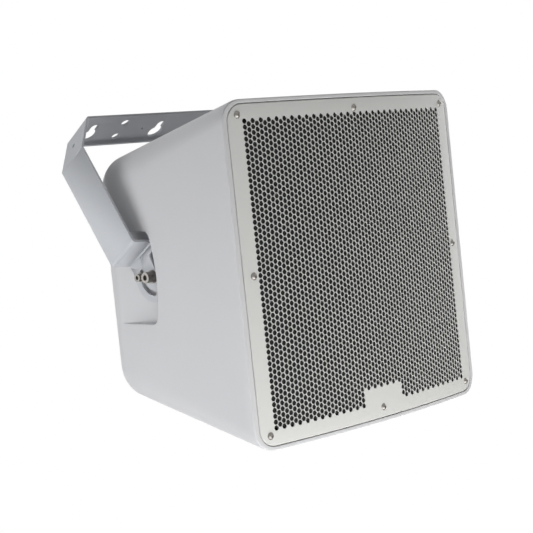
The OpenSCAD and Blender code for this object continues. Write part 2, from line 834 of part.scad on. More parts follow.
module pivot_washers(side) {
    color(steel) place_cabinet() on_side(side) translate([ear_out, pivot_y, pivot_z]) rotate([0, 90, 0])
        difference() {
            union() {
                cylinder(r = pivot_d, h = washer_t);
                translate([0, 0, washer_t]) cylinder(r = pivot_d * 0.92, h = spring_washer_t);
            }
            translate([0, 0, -over]) cylinder(r = pivot_d / 2 + 0.2, h = 6);
        }
}

// Plastic pad that fills the gap between the pocket's floor and the ear
module pivot_spacer(side) {
    color(cabinet_grey) place_cabinet() on_side(side) translate([pocket_x, pivot_y, pivot_z])
        rotate([90, 0, 90]) linear_extrude(spacer_t) difference() {
            union() {
                circle(10);
                translate([lock_r, 0]) circle(8);
                translate([0, -8]) square([lock_r, 16]);
            }
            circle(pivot_d / 2 + 0.3);
            translate([lock_r, 0]) circle(lock_d / 2 + 0.3);
        }
}

module lock_bolt(side) {
    color(steel) place_cabinet() on_side(side) translate([0, pivot_y + lock_r, pivot_z])
        socket_bolt(lock_d, lock_d * 1.65, lock_d, ear_out + washer_t, bolt_tip);
}

module lock_washer(side) {
    color(steel) place_cabinet() on_side(side)
        translate([ear_out, pivot_y + lock_r, pivot_z]) rotate([0, 90, 0]) difference() {
            cylinder(r = lock_d, h = washer_t);
            translate([0, 0, -over]) cylinder(r = lock_d / 2 + 0.2, h = washer_t + 2 * over);
        }
}

// Steel plate with two threaded holes, behind the pocket's floor
module mounting_plate(side) {
    x1 = pocket_x - wall;
    color(steel) place_cabinet() on_side(side) difference() {
        translate([x1 - nut_plate_t, pivot_y - 16, pivot_z - 18]) cube([nut_plate_t, lock_r + 32, 36]);
        translate([x1 - nut_plate_t - over, pivot_y, pivot_z]) rotate([0, 90, 0])
            cylinder(r = pivot_d / 2 + 0.05, h = nut_plate_t + 2 * over);
        translate([x1 - nut_plate_t - over, pivot_y + lock_r, pivot_z]) rotate([0, 90, 0])
            cylinder(r = lock_d / 2 + 0.05, h = nut_plate_t + 2 * over);
    }
}

// Height above the pivot where the ear's fan has its neck, and the strip's rounding there
neck_top = 24.2;
strip_corner_r = 4;
// Bracket: the folded strip is drawn as [X, Z] along its outer face, right half
joggle_slope = 3.3;
fold_path = [
    [0, 0], [base_x, 0], [arm_x, -corner_drop], [arm_x, -step_drop],
    [ear_out, -step_drop - joggle_slope], [ear_out, -pivot_drop + neck_top]
];

// Keeps an arc clear of the faces that it would only touch
hair = 0.01;
function unit(v) = v / norm(v);
function rotated(v, a) = [v.x * cos(a) - v.y * sin(a), v.x * sin(a) + v.y * cos(a)];
function heading(i) = unit(fold_path[i + 1] - fold_path[i]);
// Direction from the outer face into the sheet
function inward(i) = [heading(i).y, -heading(i).x];
function turn(i) = atan2(cross(heading(i - 1), heading(i)), heading(i - 1) * heading(i));
// Length that a bend takes from each side of its corner
function trim(i) = (i <= 0 || i >= len(fold_path) - 1) ? 0
    : (turn(i) < 0 ? bend_r + strip_t : bend_r) * tan(abs(turn(i)) / 2);

// The strip's section: flats between corners, and a ring sector at each bend
module fold_section() {
    for (i = [0 : len(fold_path) - 2]) {
        a = fold_path[i] + heading(i) * trim(i);
        b = fold_path[i + 1] - heading(i) * trim(i + 1);
        polygon([a, b, b + inward(i) * strip_t, a + inward(i) * strip_t]);
    }
    for (i = [1 : len(fold_path) - 2]) {
        inside = turn(i) < 0;
        r_out = bend_r + strip_t;
        start = fold_path[i] - heading(i - 1) * trim(i);
        finish = fold_path[i] + heading(i) * trim(i);
        centre = start + inward(i - 1) * (inside ? r_out : -bend_r);
        reach = 3 * r_out;
        // the sector runs a little into the flats, and stays a hair inside their faces
        lap = 2;
        first = rotated(unit(start - centre), inside ? lap : -lap);
        last = rotated(unit(finish - centre), inside ? -lap : lap);
        intersection() {
            translate(centre) difference() {
                circle(r_out - hair);
                circle(bend_r + hair);
            }
            polygon([centre, centre + first * reach, centre + unit(first + last) * reach, centre + last * reach]);
        }
    }
}

// Corner of the fold moved into the sheet's side by d
function inner_corner(i, d) = i == 0 ? fold_path[0] + inward(0) * d
    : fold_path[i] + (inward(i - 1) + inward(i)) * d / (1 + inward(i - 1) * inward(i));

// Lip along the rear edge, turned towards the speaker
module lip_section() {
    skin = strip_t / 2;
    end = [fold_path[2].x, -lip_end];
    polygon([
        inner_corner(0, skin), inner_corner(1, skin), inner_corner(2, skin), end - [skin, 0],
        end - [lip_h - 3, 0], end + [-lip_h, 3], inner_corner(2, lip_h), inner_corner(1, lip_h), inner_corner(0, lip_h)
    ]);
}

// Ear: a neck down to a boss round the pivot, and a fan behind it with the lock bolt's slot
slot_w = lock_d + 0.4;
slot_low = -60;
slot_high = 51;
ear_boss_r = 10;
neck_front = 11.6;
neck_low = 8.8;
neck_fillet = 3.5;
ear_trim_angle = 50;
ear_trim = 15;
module ear_outline() {
    difference() {
        union() {
            polygon([
                [-neck_low, 0], [strip_w / 2, 0], [strip_w / 2, neck_top + 0.5],
                [-neck_front, neck_top + 0.5], [-neck_front, neck_top - neck_fillet]
            ]);
            // fillet between the neck and the strip's lower edge
            translate([-neck_front - neck_fillet, neck_top - neck_fillet]) difference() {
                square(neck_fillet + 0.5);
                circle(neck_fillet - 2 * hair);
            }
            circle(ear_boss_r);
            intersection() {
                circle(ear_r);
                translate([0, -2 * ear_r]) square([2 * ear_r, 4 * ear_r]);
                rotate(ear_trim_angle - 90) translate([-3 * ear_r, -ear_trim]) square([6 * ear_r, 6 * ear_r]);
            }
        }
        circle(pivot_d / 2 + 0.4);
        intersection() {
            difference() {
                circle(lock_r + slot_w / 2);
                circle(lock_r - slot_w / 2);
            }
            polygon([[0, 0], for (a = [slot_low, (slot_low + slot_high) / 2, slot_high])
                2 * ear_r * [cos(a), sin(a)]]);
        }
        for (a = [slot_low, slot_high]) rotate(a) translate([lock_r, 0]) circle(slot_w / 2 - 2 * hair);
    }
}

// Keyhole through the base, its wide end towards the lip
keyhole_r = 7.6;
keyhole_neck = 7;
module keyhole(x) {
    translate([x, 0, -strip_t - over]) {
        translate([0, 7.3, 0]) cylinder(r = keyhole_r, h = strip_t + 2 * over);
        translate([0, -7.7, 0]) cylinder(r = keyhole_neck / 2, h = strip_t + 2 * over);
        translate([-keyhole_neck / 2, -7.7, 0]) cube([keyhole_neck, 12, strip_t + 2 * over]);
    }
}

corner_hole_r = 3;
locating_hole_x = 44.6;
module bracket_half() {
    translate([0, strip_w / 2, 0]) rotate([90, 0, 0]) {
        linear_extrude(strip_w) fold_section();
        linear_extrude(strip_t) lip_section();
    }
    translate([0, 0, -pivot_drop]) side_plate(ear_in, strip_t) ear_outline();
}

// What the rounding takes off the strip's front corner, where it comes down to the ear
module strip_corner_cut() {
    translate([0, 0, -pivot_drop]) side_plate(ear_in - over, strip_t + 2 * over)
        translate([-strip_w / 2, neck_top]) difference() {
            translate([-over, -over]) square(strip_corner_r + over);
            translate([strip_corner_r, strip_corner_r]) circle(strip_corner_r + 2 * hair);
        }
}

// One folded sheet with keyholes, bolt holes, a stiffening lip and an ear at each end
module u_bracket() {
    corner_mid = (fold_path[1] + fold_path[2]) / 2;
    corner_angle = atan2(corner_drop, arm_x - base_x);
    color(bracket_grey) difference() {
        for (side = [-1, 1]) on_side(side) bracket_half();
        for (side = [-1, 1]) on_side(side) {
            strip_corner_cut();
            keyhole(keyhole_outer_x);
            keyhole(keyhole_inner_x);
            for (s = [-1, 1])
                translate([bolt_pitch_x / 2, s * bolt_pitch_y / 2, -strip_t - over])
                    cylinder(r = bolt_hole_r, h = strip_t + 2 * over);
            translate([locating_hole_x, 1.6, -strip_t - over]) cylinder(r = 1.6, h = strip_t + 2 * over);
            translate([corner_mid.x, 2, corner_mid.y]) rotate([0, corner_angle, 0])
                translate([0, 0, -strip_t - over]) cylinder(r = corner_hole_r, h = strip_t + 2 * over);
        }
    }
}

u_bracket();
cabinet();
baffle();
grille();
grille_backing();
grille_screws();
baffle_screws();
woofer_frame();
woofer_screws();
woofer_gasket();
top_plate();
magnet();
rear_yoke();
woofer_cone();
voice_coil();
surround();
spider();
horn();
compression_driver();
crossover_board();
crossover_coils();
crossover_capacitors();
line_transformer();
input_panel();
panel_gasket();
panel_screws();
terminal_block();
cable_gland();
gland_nut();
pivot_bolt(-1);  // pivot_bolt_left
pivot_bolt(1);  // pivot_bolt_right
pivot_washers(-1);  // pivot_washers_left
pivot_washers(1);  // pivot_washers_right
pivot_spacer(-1);  // pivot_spacer_left
pivot_spacer(1);  // pivot_spacer_right
lock_bolt(-1);  // lock_bolt_left
lock_bolt(1);  // lock_bolt_right
lock_washer(-1);  // lock_washer_left
lock_washer(1);  // lock_washer_right
mounting_plate(-1);  // mounting_plate_left
mounting_plate(1);  // mounting_plate_right
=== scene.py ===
"""Looks for the outdoor speaker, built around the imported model: a perforated bowed grille, a smooth
moulded cabinet, the bracket's true holes, materials, studio light and the camera."""

import json
import math

import bmesh
import bpy
import numpy as np
from mathutils import Matrix, Vector
from mathutils.geometry import delaunay_2d_cdt


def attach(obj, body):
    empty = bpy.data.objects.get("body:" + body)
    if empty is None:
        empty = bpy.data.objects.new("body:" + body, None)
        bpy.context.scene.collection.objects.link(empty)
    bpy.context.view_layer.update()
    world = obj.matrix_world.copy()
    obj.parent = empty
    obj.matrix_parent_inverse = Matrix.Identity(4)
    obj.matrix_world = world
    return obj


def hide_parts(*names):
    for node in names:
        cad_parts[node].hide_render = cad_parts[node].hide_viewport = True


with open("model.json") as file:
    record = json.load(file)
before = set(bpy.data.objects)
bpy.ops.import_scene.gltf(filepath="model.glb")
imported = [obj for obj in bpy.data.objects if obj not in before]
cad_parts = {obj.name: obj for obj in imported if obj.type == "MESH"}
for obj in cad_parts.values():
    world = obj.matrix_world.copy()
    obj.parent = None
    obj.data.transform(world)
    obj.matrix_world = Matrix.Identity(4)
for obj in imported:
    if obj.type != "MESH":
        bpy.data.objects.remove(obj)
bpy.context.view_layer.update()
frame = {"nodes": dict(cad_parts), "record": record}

MM = 0.001

# Where the cabinet hangs: its own frame has y = 0 at the grille's front and +y to the back
TILT = math.radians(32.7)
PIVOT_DROP = 223.0
PIVOT_Y = 205.5
PIVOT_Z = 2.5
CABINET = (
    Matrix.Translation((0, 0, -PIVOT_DROP * MM))
    @ Matrix.Rotation(TILT, 4, "X")
    @ Matrix.Translation((0, -PIVOT_Y * MM, -PIVOT_Z * MM))
)

# Cabinet and grille sizes, as in the CAD source
FRONT_W, FRONT_H, FRONT_R = 397.7, 386.6, 26.0
BOW_R = 1219.0
DEPTH = 313.5
BACK_W, BACK_H = 302.0, 302.8
BACK_RZ, BACK_RX = 43.0, 30.0
WALL = 3.6
GRILLE_W, GRILLE_H, GRILLE_R = 383.0, 376.4, 20.0
GRILLE_T, GRILLE_LIP, GRILLE_GAP = 1.0, 8.0, 0.7

SHARP = 35.0
SHARP_METAL = 30.0
SAME_POINT = 2e-6
SLIVER = 1e-3


def bow(x):
    return BOW_R - np.sqrt(BOW_R**2 - np.square(x))


# Mesh helpers: points are in millimetres in the cabinet's frame

class Mesher:
    """Collects points and faces, joining points that coincide."""

    def __init__(self):
        self.points = []
        self.faces = []
        self.lookup = {}

    def point(self, p):
        key = (round(p[0] * 2000), round(p[1] * 2000), round(p[2] * 2000))
        if key not in self.lookup:
            self.lookup[key] = len(self.points)
            self.points.append((float(p[0]), float(p[1]), float(p[2])))
        return self.lookup[key]

    def add(self, pts):
        return [self.point(p) for p in pts]

    def face(self, ids):
        clean = [a for k, a in enumerate(ids) if a != ids[k - 1]]
        if len(set(clean)) == len(clean) and len(clean) > 2:
            self.faces.append(tuple(clean))

    def strip(self, ring_a, ring_b, closed=True):
        n = len(ring_a)
        for k in range(n if closed else n - 1):
            j = (k + 1) % n
            self.face((ring_a[k], ring_a[j], ring_b[j], ring_b[k]))

    def object(self, name, matrix=CABINET):
        mesh = bpy.data.meshes.new(name)
        mesh.from_pydata([matrix @ (Vector(p) * MM) for p in self.points], [], self.faces)
        mesh.validate()
        bm = bmesh.new()
        bm.from_mesh(mesh)
        bmesh.ops.remove_doubles(bm, verts=bm.verts, dist=SAME_POINT)
        bmesh.ops.recalc_face_normals(bm, faces=bm.faces)
        bm.to_mesh(mesh)
        bm.free()
        mesh.update()
        obj = bpy.data.objects.new(name, mesh)
        bpy.context.scene.collection.objects.link(obj)
        shade(obj, SHARP)
        return obj


def shade(obj, sharp):
    """Smooth shading that stays crisp where faces meet at more than the given angle."""
    mesh = obj.data
    mesh.polygons.foreach_set("use_smooth", [True] * len(mesh.polygons))
    mesh.set_sharp_from_angle(angle=math.radians(sharp))


def flat_key(p):
    """Rounded place of a flat point, by which points that coincide are found."""
    return (round(p[0], 3), round(p[1], 3))


def fill_between(outer, holes):
    """Points and triangles of the flat region inside the outer loop and outside the holes."""
    pts = [Vector(p) for p in outer]
    edges = [(k, (k + 1) % len(outer)) for k in range(len(outer))]
    for hole in holes:
        base = len(pts)
        pts += [Vector(p) for p in hole]
        edges += [(base + k, base + (k + 1) % len(hole)) for k in range(len(hole))]
    verts, _, faces, _, _, _ = delaunay_2d_cdt(pts, edges, [], 0, 1e-4)

    def inside(p, loop):
        hit = False
        n = len(loop)
        for k in range(n):
            a, b = loop[k], loop[(k + 1) % n]
            if (a[1] > p[1]) == (b[1] > p[1]):
                continue
            if p[0] < (b[0] - a[0]) * (p[1] - a[1]) / (b[1] - a[1]) + a[0]:
                hit = not hit
        return hit

    kept = []
    for f in faces:
        a, b, c = (verts[k] for k in f)
        flat = abs((b - a).cross(c - a)) < SLIVER
        mid = (a + b + c) / 3
        if not flat and inside(mid, outer) and not any(inside(mid, h) for h in holes):
            kept.append(f)
    return [(v.x, v.y) for v in verts], kept


def outline(w, h, r, corner=12, step_x=7.0, step_z=7.0):
    """Rounded rectangle in (x, z) with outward normals, anticlockwise from its first corner."""
    pts, normals = [], []
    cx, cz = w / 2 - r, h / 2 - r
    for quarter, (sx, sz) in enumerate(((1, 1), (-1, 1), (-1, -1), (1, -1))):
        for k in range(corner + 1):
            a = math.radians(90 * quarter + 90 * k / corner)
            pts.append((sx * cx + r * math.cos(a), sz * cz + r * math.sin(a)))
            normals.append((math.cos(a), math.sin(a)))
        nxt = ((-1, 1), (-1, -1), (1, -1), (1, 1))[quarter]
        a, b = pts[-1], (nxt[0] * cx + r * math.cos(math.radians(90 * quarter + 90)),
                         nxt[1] * cz + r * math.sin(math.radians(90 * quarter + 90)))
        length = math.hypot(b[0] - a[0], b[1] - a[1])
        count = max(1, round(length / (step_x if quarter % 2 == 0 else step_z)))
        for k in range(1, count):
            t = k / count
            pts.append((a[0] + (b[0] - a[0]) * t, a[1] + (b[1] - a[1]) * t))
            normals.append(normals[-1])
    return np.array(pts), np.array(normals)


# Grille: every one of its holes, in a sheet that follows the bow

PITCH = 6.5
COLUMN = PITCH * math.sqrt(3) / 2
COLUMNS, ROWS = 61, 105
HOLE_FLAT = 5.8
CORNER_CUT = 0.19
BACK_SHARE = 0.96
PLAIN_COLUMNS = range(25, 37)
PLAIN_ROWS = 99
EDGE_R, EDGE_STEPS = 1.3, 6
INNER_R, INNER_STEPS = 0.9, 3
SKIRT_MIDDLE, SKIRT_INSIDE = 5.0, 3.2


def hole_lattice():
    """Middles of the holes, in staggered columns, without those of the plain patch at the bottom."""
    for i in range(COLUMNS):
        for j in range(ROWS):
            if (i + j) % 2 == 0 and not (i in PLAIN_COLUMNS and j >= PLAIN_ROWS):
                yield (i - COLUMNS // 2) * COLUMN, (ROWS // 2 - j) * PITCH / 2


def on_sheet(x, z, depth=0.0):
    """A point of the bowed sheet, or one that far behind its front along the sheet's own normal."""
    r = BOW_R - depth
    s = x / BOW_R
    return (r * s, BOW_R - r * math.sqrt(1 - s * s), z)


def hexagon(flat):
    """Corners of a hexagon of the given width across its flats, the first one on the x axis."""
    r = flat / 2 / math.cos(math.radians(30))
    return [(r * math.cos(math.radians(60 * k)), r * math.sin(math.radians(60 * k))) for k in range(6)]


def build_grille():
    m = Mesher()
    cell_corner = hexagon(PITCH)
    raw = hexagon(HOLE_FLAT)
    hole_front = []
    for k in range(6):
        a, b, c = raw[k - 1], raw[k], raw[(k + 1) % 6]
        for d in (a, c):
            hole_front.append((b[0] + (d[0] - b[0]) * CORNER_CUT, b[1] + (d[1] - b[1]) * CORNER_CUT))
    border = {}
    for cx, cz in hole_lattice():
        fc = m.add([on_sheet(cx + p[0], cz + p[1]) for p in cell_corner])
        fh = m.add([on_sheet(cx + p[0], cz + p[1]) for p in hole_front])
        bh = m.add([on_sheet(cx + p[0] * BACK_SHARE, cz + p[1] * BACK_SHARE, GRILLE_T) for p in raw])
        bc = m.add([on_sheet(cx + p[0], cz + p[1], GRILLE_T) for p in cell_corner])
        for k in range(6):
            n = (k + 1) % 6
            a0, a1, b0 = fh[2 * k], fh[2 * k + 1], fh[2 * n]
            m.face((a0, fc[k], a1))
            m.face((a1, fc[k], fc[n], b0))
            m.face((a0, a1, bh[k]))
            m.face((a1, b0, bh[n], bh[k]))
            m.face((bc[n], bc[k], bh[k], bh[n]))
            key = (min(fc[k], fc[n]), max(fc[k], fc[n]))
            if key in border:
                del border[key]
            else:
                border[key] = (fc[k], fc[n], bc[k], bc[n])
    loops = chain(border)
    rings = []
    for k in range(EDGE_STEPS + 1):
        a = math.pi / 2 * k / EDGE_STEPS
        rings.append((EDGE_R * (1 - math.sin(a)), EDGE_R * (1 - math.cos(a))))
    rings += [(0.0, SKIRT_MIDDLE), (0.0, GRILLE_LIP), (GRILLE_T, GRILLE_LIP), (GRILLE_T, SKIRT_INSIDE)]
    for k in range(INNER_STEPS + 1):
        a = math.pi / 2 * k / INNER_STEPS
        rings.append((GRILLE_T + INNER_R * (1 - math.cos(a)), GRILLE_T + INNER_R * (1 - math.sin(a))))
    previous = None
    made = []
    for inset, depth in rings:
        pts, _ = outline(GRILLE_W - 2 * inset, GRILLE_H - 2 * inset, GRILLE_R - inset, 12, 6.0, 6.0)
        ids = m.add([on_sheet(p[0], p[1], depth) for p in pts])
        if previous is not None:
            m.strip(ids, previous)
        previous = ids
        made.append((pts, ids))
    for (pts, ids), side, depth in ((made[0], 0, 0.0), (made[-1], 1, GRILLE_T)):
        holes = []
        known = {flat_key(p): i for p, i in zip(pts, ids)}
        for loop in loops:
            flat = []
            for front, back in loop:
                x, _, z = m.points[front]
                flat.append((x, z))
                known[flat_key((x, z))] = (front, back)[side]
            holes.append(flat)
        verts, faces = fill_between([tuple(p) for p in pts], holes)
        for f in faces:
            tri = []
            for k in f:
                key = flat_key(verts[k])
                tri.append(known[key] if key in known else m.point(on_sheet(*verts[k], depth)))
            m.face(tri if side else tri[::-1])
    return m


def chain(border):
    """Closed loops of (front, back) point pairs from the cells' outer edges."""
    follow = {}
    pair = {}
    for a, b, back_a, back_b in border.values():
        follow.setdefault(a, []).append(b)
        pair[a] = back_a
        pair[b] = back_b
    loops = []
    while follow:
        start = next(iter(follow))
        loop = [start]
        here = start
        while True:
            nxt = follow[here].pop()
            if not follow[here]:
                del follow[here]
            if nxt == start:
                break
            loop.append(nxt)
            here = nxt
        loops.append([(i, pair[i]) for i in loop])
    return loops


grille_mesh = build_grille()
grille = grille_mesh.object("grille_sheet")
print("grille triangles", sum(len(f) - 2 for f in grille_mesh.faces))

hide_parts("grille")
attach(grille, "cabinet")


# Cabinet: one closed moulded shell with its rim, side pockets and rear recess

POCKET_TOP, POCKET_BOTTOM, POCKET_FRONT = 57.5, 54.0, 188.3
POCKET_BOW_R, POCKET_R, POCKET_X = 164.0, 12.0, 150.4
PANEL_W, PANEL_H, PANEL_Z = 120.0, 84.0, -50.0
RECESS_D = 22.0
RECESS_W, RECESS_H, RECESS_R, RECESS_EDGE_R = PANEL_W + 4.0, PANEL_H + 4.0, 8.0, 1.4
PANEL_SEAT, PANEL_HOLE_R = 10.0, 5.0
RIM_R, MOUTH_LIP_R = 1.2, 0.7
MOUTH_D = GRILLE_LIP + 4.0
BAND_Y = float(bow(FRONT_W / 2)) + 0.5

# Rows of faces from the rim to the rounded back, those that a pocket's window spans, and its width
ROWS_TO_BACK, WINDOW_ROWS, WINDOW_SHARE = 16, (9, 16), 0.68
CAP_ROWS = 12
FILLET_SHARE = 0.45


class Hull:
    """The tapered body between the front rim and the rounded back, at an inset from its outside."""

    def __init__(self, inset, corner=14, step=9.0):
        self.inset = inset
        self.rx, self.ry = BACK_RX - inset, BACK_RZ - inset
        self.back = (BACK_W / 2 - BACK_RX, BACK_H / 2 - BACK_RZ)
        self.front = (FRONT_W / 2 - FRONT_R, FRONT_H / 2 - FRONT_R)
        self.back_y = DEPTH - BACK_RZ
        angle, mx, mz = [], [], []
        signs = ((1, 1), (-1, 1), (-1, -1), (1, -1))
        for q in range(4):
            for k in range(corner + 1):
                angle.append(90 * q + 90 * k / corner)
                mx.append(signs[q][0])
                mz.append(signs[q][1])
            n = signs[(q + 1) % 4]
            length = 2 * self.front[q % 2]
            count = round(length / step)
            for k in range(1, count):
                t = k / count
                angle.append(90 * q + 90)
                mx.append(signs[q][0] + (n[0] - signs[q][0]) * t)
                mz.append(signs[q][1] + (n[1] - signs[q][1]) * t)
        self.angle = np.radians(angle)
        self.mx, self.mz = np.array(mx, float), np.array(mz, float)
        self.count = len(angle)
        self.beta = np.array([self.lean(a) for a in self.angle])
        self.end = self.back_point(self.beta)

    def back_point(self, beta):
        nx, ny, nz = np.cos(self.angle) * np.cos(beta), np.sin(beta), np.sin(self.angle) * np.cos(beta)
        scale = np.sqrt((self.rx * nx) ** 2 + (self.ry * ny) ** 2 + (self.ry * nz) ** 2)
        return np.stack(
            [
                self.mx * self.back[0] + self.rx**2 * nx / scale,
                self.back_y + self.ry**2 * ny / scale,
                self.mz * self.back[1] + self.ry**2 * nz / scale,
            ],
            axis=1,
        )

    def lean(self, a):
        """Angle by which the surface leans back, so that it touches both the rim and the rounded back."""
        low, high = 0.0, 1.2
        for _ in range(50):
            b = (low + high) / 2
            n = np.array([math.cos(a) * math.cos(b), math.sin(b), math.sin(a) * math.cos(b)])
            scale = math.sqrt((self.rx * n[0]) ** 2 + (self.ry * n[1]) ** 2 + (self.ry * n[2]) ** 2)
            sx = 1 if math.cos(a) >= -1e-9 else -1
            sz = 1 if math.sin(a) >= -1e-9 else -1
            e = np.array([
                sx * self.back[0] + self.rx**2 * n[0] / scale,
                self.back_y + self.ry**2 * n[1] / scale,
                sz * self.back[1] + self.ry**2 * n[2] / scale,
            ])
            r = FRONT_R - self.inset
            f = np.array([sx * self.front[0] + r * math.cos(a), BAND_Y, sz * self.front[1] + r * math.sin(a)])
            if float(n @ (e - f)) < 0:
                low = b
            else:
                high = b
        return (low + high) / 2

    def rim(self, inset=0.0):
        """Outline at the front, moved in by a further distance, as x and z."""
        r = FRONT_R - self.inset - inset
        x = self.mx * self.front[0] + r * np.cos(self.angle)
        z = self.mz * self.front[1] + r * np.sin(self.angle)
        return np.stack([x, z], axis=1)

    def at(self, y):
        """Points of the tapered surface at depths y, one for each place round the outline."""
        f = self.rim()
        s = np.clip((y - BAND_Y) / (self.end[:, 1] - BAND_Y), 0, None)
        x = f[:, 0] + (self.end[:, 0] - f[:, 0]) * s
        z = f[:, 1] + (self.end[:, 2] - f[:, 1]) * s
        return np.stack([x, y, z], axis=1)

    def side_place(self):
        """Place round the outline where the right side starts, and its half width at the rim."""
        k = int(np.argmin(np.abs(self.angle) + np.abs(self.mz - 1)))
        return k, self.rim()[k, 0]

    def side_x(self, y):
        """Distance of the flat side from the middle at a depth y."""
        k, f = self.side_place()
        return f + (self.end[k, 0] - f) * (y - BAND_Y) / (self.end[k, 1] - BAND_Y)

    def crease_y(self, floor):
        """Depth at which the flat side comes down to the pocket's floor."""
        k, f = self.side_place()
        return BAND_Y + (f - floor) / (f - self.end[k, 0]) * (self.end[k, 1] - BAND_Y)


def pocket_loop(grow, rear):
    """Pocket outline in (y, z) with outward normals, from its rear's top round its front to its bottom."""
    cy = POCKET_FRONT + POCKET_BOW_R
    big, r = POCKET_BOW_R + grow, POCKET_R + grow
    pts, normals = [], []

    def line(a, b, n, step=3.0):
        count = max(1, round(math.hypot(b[0] - a[0], b[1] - a[1]) / step))
        for k in range(count):
            t = k / count
            pts.append((a[0] + (b[0] - a[0]) * t, a[1] + (b[1] - a[1]) * t))
            normals.append(n)

    def arc(c, radius, a0, a1, count):
        for k in range(count):
            a = a0 + (a1 - a0) * k / count
            pts.append((c[0] + radius * math.cos(a), c[1] + radius * math.sin(a)))
            normals.append((math.cos(a), math.sin(a)))

    h1, h2 = POCKET_TOP - POCKET_R, POCKET_BOTTOM - POCKET_R
    y1 = cy - math.sqrt((POCKET_BOW_R - POCKET_R) ** 2 - h1**2)
    y2 = cy - math.sqrt((POCKET_BOW_R - POCKET_R) ** 2 - h2**2)
    a1 = math.pi - math.asin(h1 / (POCKET_BOW_R - POCKET_R))
    a2 = math.pi + math.asin(h2 / (POCKET_BOW_R - POCKET_R))
    line((rear, POCKET_TOP + grow), (y1, POCKET_TOP + grow), (0, 1))
    arc((y1, h1), r, math.pi / 2, a1, 10)
    arc((cy, 0), big, a1, a2, 40)
    arc((y2, -h2), r, a2, 3 * math.pi / 2, 10)
    line((y2, -POCKET_BOTTOM - grow), (rear, -POCKET_BOTTOM - grow), (0, -1))
    pts.append((rear, -POCKET_BOTTOM - grow))
    normals.append((0, -1))
    return np.array(pts), np.array(normals)


def add_pocket(m, side, hull, floor, grow, window, top_r, floor_r):
    """Fills the window in a flat side with the side's own plane, the pocket's walls and its floor."""
    rear = hull.crease_y(floor)
    pts, normals = pocket_loop(grow, rear)
    height = np.maximum(hull.side_x(pts[:, 0]) - floor, 0)
    height[0] = height[-1] = 0
    rt, rf = np.minimum(top_r, FILLET_SHARE * height), np.minimum(floor_r, FILLET_SHARE * height)
    rings = []
    for k in range(5):
        a = math.pi / 2 * k / 4
        p = pts + normals * (rt * (1 - math.sin(a)))[:, None]
        rings.append((p, hull.side_x(p[:, 0]) - rt * (1 - math.cos(a))))
    for k in range(6):
        a = math.pi / 2 * k / 5
        p = pts - normals * (rf * (1 - math.cos(a)))[:, None]
        rings.append((p, floor + rf * (1 - math.sin(a))))
    ids = [m.add([(side * x, q[0], q[1]) for q, x in zip(p, xs)]) for p, xs in rings]
    for a, b in zip(ids, ids[1:]):
        m.strip(a, b, closed=False)
    closing = 40
    z0, z1 = pts[-1][1], pts[0][1]
    crease = [(rear, z0 + (z1 - z0) * k / closing) for k in range(1, closing)]
    outer = [tuple(q) for q in rings[0][0]] + crease
    inner = [tuple(q) for q in rings[-1][0]] + crease
    known = {flat_key(p): i for p, i in window}
    verts, faces = fill_between([p for p, _ in window], [outer])
    for f in faces:
        tri = []
        for k in f:
            y, z = verts[k]
            i = known.get(flat_key(verts[k]))
            tri.append(m.point((side * hull.side_x(y), y, z)) if i is None else i)
        m.face(tri[::-side])
    verts, faces = fill_between(inner, [])
    for f in faces:
        tri = []
        for k in f:
            y, z = verts[k]
            x = hull.side_x(y) if abs(y - rear) < 1e-4 else floor
            tri.append(m.point((side * x, y, z)))
        m.face(tri[::-side])


def add_hull(m, hull, first_y, floor, grow, top_r, floor_r):
    """The tapered body from the depths first_y to the back; returns its first ring and the back's outline."""
    top = hull.end[:, 1]
    rings = [hull.at(first_y)]
    start = np.maximum(first_y, BAND_Y)
    for k in range(ROWS_TO_BACK + 1):
        rings.append(hull.at(start + (top - start) * k / ROWS_TO_BACK))
    ids = [m.add(r) for r in rings]
    first_row, last_row = (len(ids) - 1 - ROWS_TO_BACK + row for row in WINDOW_ROWS)
    for k in range(1, CAP_ROWS + 1):
        beta = hull.beta + (math.pi / 2 - hull.beta) * k / CAP_ROWS
        ring = hull.back_point(beta)
        rings.append(ring)
        ids.append(m.add(ring))
    blocked = set()
    for side, angle in ((1, 0.0), (-1, math.pi)):
        flat = [
            k for k in range(hull.count)
            if abs(math.cos(hull.angle[k]) - side) < 1e-9 and abs(hull.mz[k]) < WINDOW_SHARE
        ]
        flat.sort(key=lambda k: hull.mz[k])
        low, high = flat[0], flat[-1]
        window = []
        for row in range(first_row, last_row + 1):
            window.append((row, low))
        for k in flat[1:]:
            window.append((last_row, k))
        for row in range(last_row - 1, first_row - 1, -1):
            window.append((row, high))
        for k in flat[-2:0:-1]:
            window.append((first_row, k))
        loop = [((float(rings[r][k][1]), float(rings[r][k][2])), ids[r][k]) for r, k in window]
        add_pocket(m, side, hull, floor, grow, loop, top_r, floor_r)
        for row in range(first_row, last_row):
            for a, b in zip(flat, flat[1:]):
                blocked.add((row, min(a, b) if abs(a - b) == 1 else max(a, b)))
    for row in range(len(ids) - 1):
        for k in range(hull.count):
            if (row, k) not in blocked:
                j = (k + 1) % hull.count
                m.face((ids[row][k], ids[row][j], ids[row + 1][j], ids[row + 1][k]))
    last = []
    for i, p in zip(ids[-1], rings[-1]):
        if not last or last[-1][1] != i:
            last.append(((float(p[0]), float(p[2])), i))
    if last[0][1] == last[-1][1]:
        last.pop()
    return ids[0], last


def close_flat(m, outer, hole, y):
    """Flat face at depth y between a loop of known points and a hole in it."""
    known = {flat_key(p): i for p, i in list(outer) + list(hole)}
    verts, faces = fill_between([p for p, _ in outer], [[p for p, _ in hole]])
    for f in faces:
        tri = []
        for k in f:
            i = known.get(flat_key(verts[k]))
            tri.append(m.point((verts[k][0], y, verts[k][1])) if i is None else i)
        m.face(tri)


